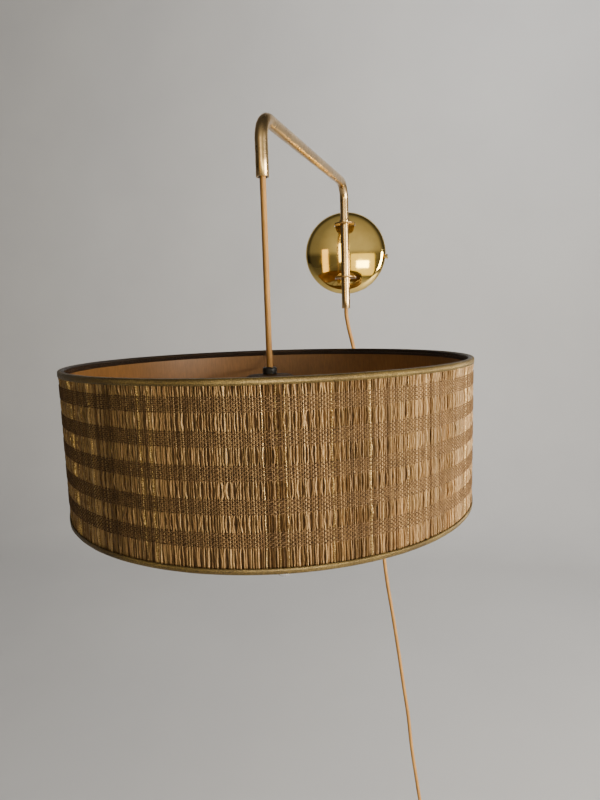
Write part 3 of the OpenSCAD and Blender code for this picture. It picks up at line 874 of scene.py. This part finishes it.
def make_straws(angles, widths, rng):
    """Strands held flat and even by the woven bands, and bunched and bulging in the bare rings between."""
    tuck = 0.8 * MM
    edges = [RIM - tuck]
    for top, low in bands():
        edges += [top, low]
    edges.append(BASE + tuck)
    rings = [(edges[0], 0.0, 0)]
    for i in range(0, len(edges), 2):
        high, low = edges[i], edges[i + 1]
        if i:
            rings.append((high, 0.0, i // 2))
        rings += [(high + (low - high) * t, math.sin(math.pi * t), i // 2) for t in (0.2, 0.5, 0.8)]
        rings.append((low, 0.0, i // 2))
    leans = [bunches(rng, angles) for _ in range(len(edges) // 2)]
    section = ((-0.5, -0.6), (-0.24, 0.45), (0.2, 0.5), (0.5, -0.6))  # (across, outwards), flat behind
    verts, tints, golds, faces = [], [], [], []
    for k, (angle, width) in enumerate(zip(angles, widths)):
        arc = width * WEAVE_R
        gold = 1.0 if rng.random() < GOLD_SHARE else 0.0
        tint = min(1.0, max(0.0, rng.gauss(0.50, 0.19)))
        wide = arc * rng.uniform(0.70, 1.0)
        deep = rng.uniform(0.8, 1.25) * MM
        ridge = rng.uniform(-0.25, 0.25)
        first = len(verts)
        local, drift = 0.0, 0.0
        for z, loose, zone in rings:
            if loose == 0.0:
                local = rng.uniform(-0.14, 0.14)
                drift = rng.gauss(0, 0.05) * arc
                swell, press = 0.84, 0.62
            else:
                swell, press = 0.82 + loose * rng.uniform(-0.1, 0.3), 0.7 + 0.4 * loose
            shift = drift + loose * rng.gauss(0, 0.08) * arc
            out = loose * rng.uniform(-0.3, 0.55) * MM
            a = angle + shift / WEAVE_R + leans[zone][k] * loose
            radial = outwards(a)
            tangent = UP.cross(radial)
            centre = LAMP + UP * z + radial * (WEAVE_R + out)
            for u, v in section:
                across = (u + (ridge if v > 0 else 0)) * wide * swell
                verts.append(centre + tangent * across + radial * (v * deep * press))
                tints.append(min(1.0, max(0.0, tint + local)))
                golds.append(gold)
        faces += [tuple(i + first for i in f) for f in grid(len(rings), len(section))]
    made = piece("straws", verts, faces, "lamp", "woven_straw", ("shade_weave",))
    for key, values in (("tint", tints), ("gold", golds)):
        made.data.attributes.new(key, "FLOAT", "POINT").data.foreach_set("value", values)
    angle_smooth(made, 75)


def make_threads(angles, rng):
    """Dark weft threads, over one warp end and under the next, staggered row by row."""
    over, under, between = 0.66 * MM, -0.3 * MM, 0.02 * MM
    sides, tall = 6, 1.15
    for number, (top, low) in enumerate(bands(), 1):
        verts, faces = [], []
        for row in range(THREADS):
            middle = top + (low - top) * (row + 0.5) / THREADS
            first = len(verts)
            for k in range(WARPS):
                step = (angles[(k + 1) % WARPS] - angles[k]) % TAU
                for t, rise in ((0.0, over if (k + row) % 2 == 0 else under), (0.5, between)):
                    a = angles[k] + step * t
                    z = middle + rng.gauss(0, 0.04) * MM
                    radial = outwards(a)
                    centre = LAMP + UP * z + radial * (WEAVE_R + rise)
                    for j in range(sides):
                        b = TAU * j / sides
                        rim = radial * math.cos(b) + UP * (tall * math.sin(b))
                        verts.append(centre + rim * THREAD_R)
            ring = grid(WARPS * 2, sides, closed=True)
            faces += [tuple(i + first for i in f) for f in ring]
        piece(f"weft_band_{number}", verts, faces, "lamp", "woven_straw", look="weft_thread")


def around(profile, name, slot, stands_for, wobble, rng):
    """A band of cloth round the drum: a closed outline carried round with small waves in it."""
    sides = 360
    waves = [(rng.randint(2, 40), rng.uniform(0, TAU), rng.uniform(0.3, 1.0)) for _ in range(7)]
    verts, uv = [], []
    n = len(profile)
    for k in range(sides):
        a = TAU * k / sides
        swell = wobble * sum(h * math.sin(f * a + p) for f, p, h in waves) / len(waves)
        c, s = math.cos(a), math.sin(a)
        verts += [Vector((LAMP.x + (r + swell) * c, LAMP.y + (r + swell) * s, z)) for r, z in profile]
    faces = grid(sides, n, closed=True)
    lengths = [0.0]
    for (r0, z0), (r1, z1) in zip(profile, profile[1:] + profile[:1]):
        lengths.append(lengths[-1] + math.hypot(r1 - r0, z1 - z0))
    round_length = TAU * 190 * MM
    for k in range(sides):
        for i in range(n):
            for di, dk in ((0, 0), (1, 0), (1, 1), (0, 1)):
                uv.append(((k + dk) / sides * round_length, lengths[i + di]))
    return piece(name, verts, faces, "lamp", slot, stands_for, uv)


def ribbon_outline(side):
    """A ribbon folded over the rim and round the wire ring, then down the inside."""
    edge = RIM if side > 0 else BASE
    outside = [  # (radius, depth from the rim), in mm, from the outer hem over the rim to the inner one
        (194.55, 5.0), (194.6, 3.0), (194.5, 1.2), (193.9, 0.35), (192.8, 0.0), (190.9, 0.0), (189.7, 0.4),
        (189.2, 1.4), (189.15, 2.6), (189.6, 3.6), (190.9, 4.5), (191.5, 5.4), (191.65, 7.0),
    ]
    thick = 0.38
    line = [Vector((r, -d, 0)) for r, d in outside]
    inner = [p + Vector((way.y, -way.x, 0)) * -thick for p, way in zip(line, directions(line))]
    loop = [(p.x * MM, edge + side * p.y * MM) for p in line + inner[::-1]]
    return loop if side > 0 else loop[::-1]


def make_shade():
    """The woven cover, the two ribbons, and the lining, whose outer face takes the dark thread finish as
    painted shade in the gaps between the straws.
    """
    rng = random.Random(7)
    fold_r, card_in, card_out = 192 * MM, 191.95 * MM, 192.45 * MM
    angles, widths = warp_angles(rng)
    make_straws(angles, widths, rng)
    make_threads(angles, rng)
    for side, name, stands_for in ((1, "top_ribbon", "top_trim"), (-1, "bottom_ribbon", "bottom_trim")):
        band = around(ribbon_outline(side), name, "ribbon", (stands_for,), 0.25 * MM, rng)
        # marks the ribbon's fold inside the drum, which its finish darkens as painted shade with some
        # staining
        reach = [math.hypot(v.co.x - LAMP.x, v.co.y - LAMP.y) for v in band.data.vertices]
        inside = band.data.attributes.new("inside", "FLOAT", "POINT")
        inside.data.foreach_set("value", [1.0 if r < fold_r else 0.0 for r in reach])
    low, high = BASE + 0.6 * MM, RIM - 0.6 * MM
    card = [(card_in, high), (card_in, low), (card_out, low), (card_out, high)]
    lining = around(card, "lining", "lining_card", ("shade_lining",), 0.1 * MM, rng)
    # painted shade: the lining's outer face gets the dark thread finish so the gaps between straws read as
    # shade
    lining.data.materials.append(MATERIALS["weft_thread"])
    for face in lining.data.polygons:
        if math.hypot(face.center.x - LAMP.x, face.center.y - LAMP.y) > card_out - 0.15 * MM:
            face.material_index = 1
    angle_smooth(lining, 40)


def make_spider():
    """Three wires from the hub to the top ring, bent up near the ring, and a round hub."""
    wire, hub_r, arms, first_arm = 1.7 * MM, 15 * MM, 3, 99.5
    low, high = upright("spider")[0] + wire, RIM - 4.8 * MM
    ring_r = 190.2 * MM
    verts, faces = [], []
    for k in range(arms):
        radial = outwards(math.radians(first_arm + 360 / arms * k))
        corners = [(9 * MM, low), (176.8 * MM, low), (ring_r + 0.6 * MM, high)]
        line = filleted([LAMP + radial * r + UP * z for r, z in corners], 12 * MM, 10)
        across = UP.cross(radial) * 7 * MM
        for path in (line, smooth_line([line[-1] - across, line[-1] + across], 0.002)):
            arm_verts, arm_faces, _ = sweep(path, wire, 16)
            faces += [tuple(i + len(verts) for i in f) for f in arm_faces]
            verts += arm_verts
    hub_top = upright("top_cap")[0]
    hub_low = hub_top - 1.6 * MM
    hub = [(NIPPLE_HOLE, hub_low), (hub_r, hub_low), (hub_r, hub_top), (NIPPLE_HOLE, hub_top)]
    hub_verts, hub_faces = lathe(rounded(hub, 0.5 * MM), LAMP, 64)
    faces += [tuple(i + len(verts) for i in f) for f in hub_faces]
    verts += hub_verts
    piece("spider_frame", verts, faces, "lamp", "shade_wire", ("spider",))


make_shade()
make_spider()

# ---------------- bulb and pull chain

POLE = 0.02 * MM  # how near a turned outline comes to its own axis


def make_bulb():
    """A common pear-shaped bulb with a thin wall, hollow inside."""
    shell_low = upright("socket_shell")[0]
    low = upright("bulb_glass")[0]
    big, neck, wall = 26 * MM, 13.2 * MM, 0.8 * MM
    line = [Vector((POLE, low, 0))]
    for k in range(1, 30):
        a = math.radians(4 * k)
        line.append(Vector((big * math.sin(a), low + big - big * math.cos(a), 0)))
    start = line[-1]
    control = Vector((neck + 3.6 * MM, shell_low - 16 * MM, 0))
    end = Vector((neck, shell_low - 3.4 * MM, 0))
    steps = 14
    for k in range(1, steps + 1):
        t = k / steps
        line.append((1 - t) ** 2 * start + 2 * t * (1 - t) * control + t * t * end)
    inner = [p + Vector((-way.y, way.x, 0)) * wall for p, way in zip(line, directions(line))]
    outline = [(max(p.x, POLE), p.y) for p in line + inner[::-1]]
    verts, faces = lathe(outline, LAMP, 72)
    piece("bulb_envelope", verts, faces, "lamp", "frosted_glass", ("bulb_glass",))


def make_chain():
    """Beads with a thin neck between each two, and a clear ball with a short collar at its top."""
    at = LAMP + outwards(math.radians(-68)) * 31 * MM
    ball_low, ball_high = upright("chain_knob")
    z, stop = upright("pull_chain")[1], ball_high - 1.5 * MM
    bead, neck, pitch, steps = 1.6 * MM, 0.45 * MM, 4.2 * MM, 10
    outline = []
    while z - 2 * bead > stop:
        for k in range(steps + 1):
            a = math.pi * k / steps
            outline.append((max(bead * math.sin(a), neck), z - bead + bead * math.cos(a)))
        z -= pitch
    outline.append((neck, stop - 4 * MM))
    closed = [(POLE, outline[0][1])] + outline + [(POLE, outline[-1][1])]
    verts, faces = lathe(closed, at, 20)
    piece("bead_chain", verts, faces, "chain", "socket_brass", ("pull_chain",))

    r, collar_r, hole = 10.5 * MM, 2.6 * MM, 0.5 * MM
    middle = ball_low + r
    ball = [(hole, ball_low)]
    for k in range(1, 28):
        a = math.radians(6 * k)
        x, z = r * math.sin(a), middle - r * math.cos(a)
        if z < middle or x > collar_r:
            ball.append((x, z))
    ball += [
        (collar_r, ball[-1][1] + 0.3 * MM), (collar_r, ball_high - 0.4 * MM),
        (collar_r - 0.5 * MM, ball_high), (hole, ball_high), (hole, ball_low + 0.5 * MM),
    ]
    verts, faces = lathe(ball, at, 64)
    piece("chain_ball", verts, faces, "chain", "clear_acrylic", ("chain_knob",))


make_bulb()
make_chain()

# ---------------- plug and tie


def make_plug():
    """A moulded two-blade plug: a rounded body with finger ribs, and a slotted, tapered relief."""
    low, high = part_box("plug_body")
    x, y = (low[0] + high[0]) / 2, (low[1] + high[1]) / 2
    half_w, half_t = (high[0] - low[0]) / 2, (high[1] - low[1]) / 2
    body_top = high[2] - 20 * MM
    sides = 48
    body = (  # (share of the body's height, share of its full size)
        (0.0, 0.86), (0.02, 0.95), (0.06, 0.985), (0.2, 1.0), (0.5, 1.0), (0.62, 1.0),
        (0.8, 0.93), (0.92, 0.8), (0.985, 0.62), (1.0, 0.5),
    )
    rings = [(low[2] + (body_top - low[2]) * t, half_w * grow, half_t * grow) for t, grow in body]
    relief = 9
    step = (high[2] - body_top) / relief
    rib = ((0.0, 0.84), (0.16, 1.0), (0.6, 0.985), (0.76, 0.84))  # (share of a step, share of the radius)
    for k in range(relief):
        z = body_top + step * (k + 0.15)
        r = (6.0 - 2.0 * k / relief) * MM
        rings += [(z + step * t, r * grow, r * grow) for t, grow in rib]
    rings.append((high[2], 3.4 * MM, 3.4 * MM))
    verts = []
    for z, w, d in rings:
        square = 0.55 if w > 7 * MM else 1.0
        for k in range(sides):
            c, s = math.cos(TAU * k / sides), math.sin(TAU * k / sides)
            px = math.copysign(abs(c) ** square, c) * w
            py = math.copysign(abs(s) ** square, s) * d
            if square < 1 and abs(c) > 0.8 and low[2] + 6 * MM < z < body_top - 7 * MM:
                px *= 0.97
            verts.append(Vector((x + px, y + py, z)))
    made = piece("plug_moulding", verts, grid(len(rings), sides), "mount", "plug_brown", ("plug_body",))
    angle_smooth(made, 45)
    return made


def make_tie():
    """A soft strap wrapped once round the coil's turns."""
    low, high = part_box("cord_tie")
    half = 4 * MM
    y0, y1, z0, z1 = high[1], low[1], low[2], high[2]
    outline = rounded([(y0, z0), (y0, z1), (y1, z1), (y1, z0)], 3.4 * MM, 6)
    y0, y1, z0, z1 = y0 - MM, y1 + MM, z0 + MM, z1 - MM
    inner = rounded([(y0, z0), (y0, z1), (y1, z1), (y1, z0)], 2.6 * MM, 6)
    verts = []
    for loop in (outline, inner):
        for side in (-half, half):
            verts += [Vector((COIL.x + side, y, z)) for y, z in loop]
    n = len(outline)
    faces = []
    for k in range(n):
        j = (k + 1) % n
        a, b, c, d = ((k + m * n, j + m * n) for m in range(4))
        faces += [(a[0], a[1], b[1], b[0]), (c[0], d[0], d[1], c[1])]
        faces += [(a[0], c[0], c[1], a[1]), (b[0], b[1], d[1], d[0])]
    made = piece("coil_strap", verts, faces, "mount", "tie_strap", ("cord_tie",))
    angle_smooth(made, 40)
    return made


plug = make_plug()
tie = make_tie()

# ---------------- stage and light


def make_stage():
    """A pale floor that turns up into a pale backdrop far behind."""
    floor = cad_box[0].z - 0.3
    back, turn, steps = 3.2, 1.2, 24
    line = [(-9.0, floor), (back - turn, floor)]
    line += [
        (back - turn + turn * math.sin(a), floor + turn - turn * math.cos(a))
        for a in (math.pi / 2 * k / steps for k in range(1, steps + 1))
    ]
    line.append((back, 7.0))
    verts = [(x, y, z) for y, z in line for x in (-12.0, 12.0)]
    faces = [(2 * i, 2 * i + 1, 2 * i + 3, 2 * i + 2) for i in range(len(line) - 1)]
    mesh = bpy.data.meshes.new("backdrop")
    mesh.from_pydata(verts, [], faces)
    mesh.shade_smooth()
    paper = material("paper", Roughness=0.9)
    clouds = noise(paper, place(paper), 1.5)
    drive(paper, "Base Color", ramp(paper, clouds, (0.3, (0.60, 0.60, 0.61)), (0.7, (0.64, 0.64, 0.645))))
    mesh.materials.append(paper)
    new_object("backdrop", mesh)


def area_light(name, at, towards, size, power, colour):
    """A rectangular light at a place, turned towards another."""
    data = bpy.data.lights.new(name, "AREA")
    data.shape = "RECTANGLE"
    data.size, data.size_y = size
    data.energy, data.color = power, colour
    lamp = new_object(name, data)
    lamp.location = at
    lamp.rotation_mode = "QUATERNION"
    lamp.rotation_quaternion = (Vector(towards) - Vector(at)).to_track_quat("-Z", "Y")
    return lamp


def make_light():
    """A dim room, paler behind the camera, with a window off to the right and cards for the brass."""
    world = bpy.data.worlds.new("room")
    bpy.context.scene.world = world
    world.use_nodes = True
    way = add(world, "TexCoord").outputs["Generated"]
    behind = (0.1, -0.98, 0.15)
    facing = add(world, "VectorMath", {"operation": "DOT_PRODUCT"}, _0=way, _1=behind).outputs["Value"]
    dim, pale, bright = (0.065, 0.062, 0.058), (0.25, 0.235, 0.21), (0.64, 0.59, 0.49)
    glow = ramp(world, facing, (0.4, dim), (0.8, pale), (0.96, bright))
    height = add(world, "SeparateXYZ", Vector=way).outputs["Z"]
    horizon = ramp(world, height, (0.07, grey(0.3)), (0.15, grey(1.0)))
    ground = world.node_tree.nodes["Background"]
    world.node_tree.links.new(times(world, glow, horizon), ground.inputs["Color"])
    ground.inputs["Strength"].default_value = 1.0
    drum, wall = (-0.05, -0.35, -0.2), (0.0, 0.0, 0.0)
    area_light("window", (2.48, -1.4, -0.35), drum, (1.5, 1.3), 195, (1.0, 0.93, 0.81))
    cards = (
        area_light("wide_card", (1.25, -3.9, -0.5), wall, (1.95, 1.7), 19, (1.0, 0.83, 0.30)),
        area_light("bright_card", (1.15, -3.6, -0.44), wall, (0.9, 0.5), 24, (1.0, 0.97, 0.55)),
        area_light("tall_card", (-1.62, -3.7, -0.28), wall, (0.48, 2.1), 9, (1.0, 0.68, 0.25)),
        area_light("middle_card", (-0.22, -3.7, 0.4), wall, (0.6, 1.3), 20, (1.0, 0.88, 0.66)),
    )
    for card in cards:
        card.visible_diffuse = False
    far_wall = (0.3, 3.0, 0.0)
    wash = area_light("backdrop_wash", (1.5, 0.6, 2.6), far_wall, (2.0, 1.0), 70, (1.0, 0.99, 0.97))
    wash.visible_glossy = False


make_stage()
make_light()
